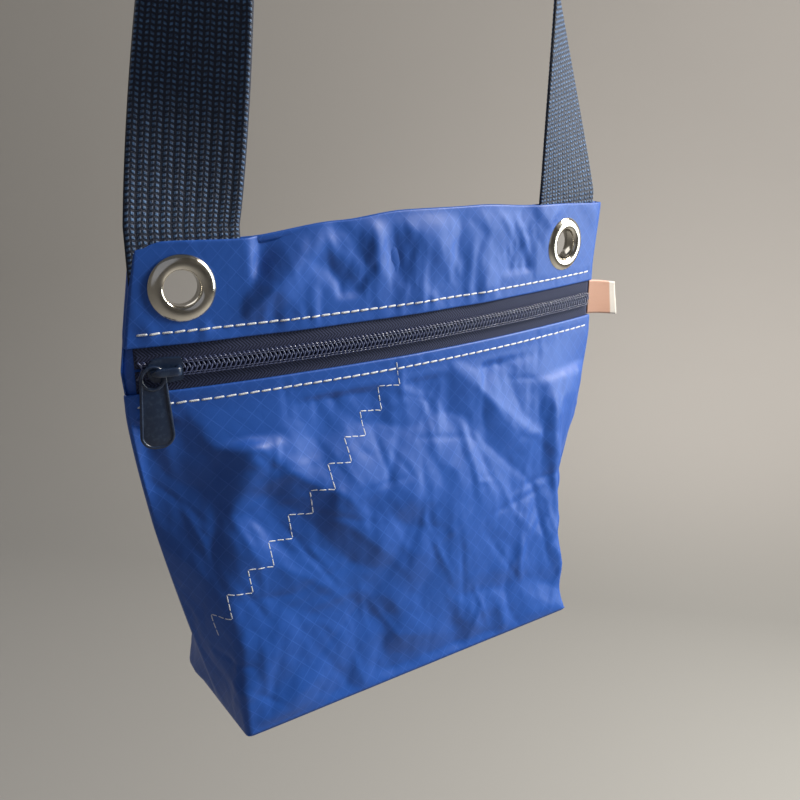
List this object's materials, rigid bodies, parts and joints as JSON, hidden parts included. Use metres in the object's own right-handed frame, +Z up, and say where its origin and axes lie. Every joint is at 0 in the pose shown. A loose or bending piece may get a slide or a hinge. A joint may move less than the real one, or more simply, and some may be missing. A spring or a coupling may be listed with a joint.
{
  "type": "trapeze bag",
  "caption": "Small trapeze-shaped sailcloth shoulder bag with boxed base, front zip, two metal eyelets and a flat webbing strap.",
  "frame": {"origin": "point under the top of the strap arch, where the hook carries the bag", "axes": "+Z up, +X along the zip from its closed end to its open end, +Y from the front of the bag to its back"},
  "size_m": [0.2312, 0.055, 0.5838],
  "materials": {
    "sailcloth": "royal-blue ripstop sailcloth, lightly crinkled, soft sheen",
    "webbing": "navy ribbed polypropylene webbing",
    "zip_tape": "woven dark navy zip tape",
    "zip_coil": "navy nylon coil",
    "nickel": "polished nickel plate, light handling marks",
    "slider_enamel": "dark blue baked enamel, worn at the rims",
    "spring_steel": "plain spring steel",
    "thread": "white bonded polyester thread",
    "ribbon": "plain cream woven ribbon, bare"
  },
  "bodies": {
    "strap": {"strap_loop": "webbing"},
    "bag": {"left_strap_end": "webbing", "right_strap_end": "webbing", "front_yoke": "sailcloth", "front_panel": "sailcloth", "back_panel": "sailcloth", "upper_zip_tape": "zip_tape", "lower_zip_tape": "zip_tape", "upper_zip_coil": "zip_coil", "lower_zip_coil": "zip_coil", "left_eyelet": "nickel", "right_eyelet": "nickel", "left_washer": "nickel", "right_washer": "nickel", "upper_topstitch": "thread", "lower_topstitch": "thread", "zigzag_stitch": "thread", "label_tag": "ribbon"},
    "slider": {"slider_body": "slider_enamel", "slider_crown": "slider_enamel", "slider_lock_spring": "spring_steel"},
    "pull": {"pull_tab": "slider_enamel"}
  },
  "joints": [
    {"name": "bag_swing", "type": "hinge", "parent": "strap", "child": "bag", "pos_m": [0, -0.00377, -0.394], "axis": [1, 0, 0], "range_deg": [-90, 90]},
    {"name": "slider_travel", "type": "hinge", "parent": "bag", "child": "slider", "pos_m": [0, 0.50523, -0.441], "axis": [0, 0, 1], "range_deg": [0, 21.13]},
    {"name": "pull_swing", "type": "hinge", "parent": "slider", "child": "pull", "pos_m": [-0.10126, -0.00614, -0.441], "axis": [-0.186, -0.9826, 0], "range_deg": [-180, 30]}
  ]
}
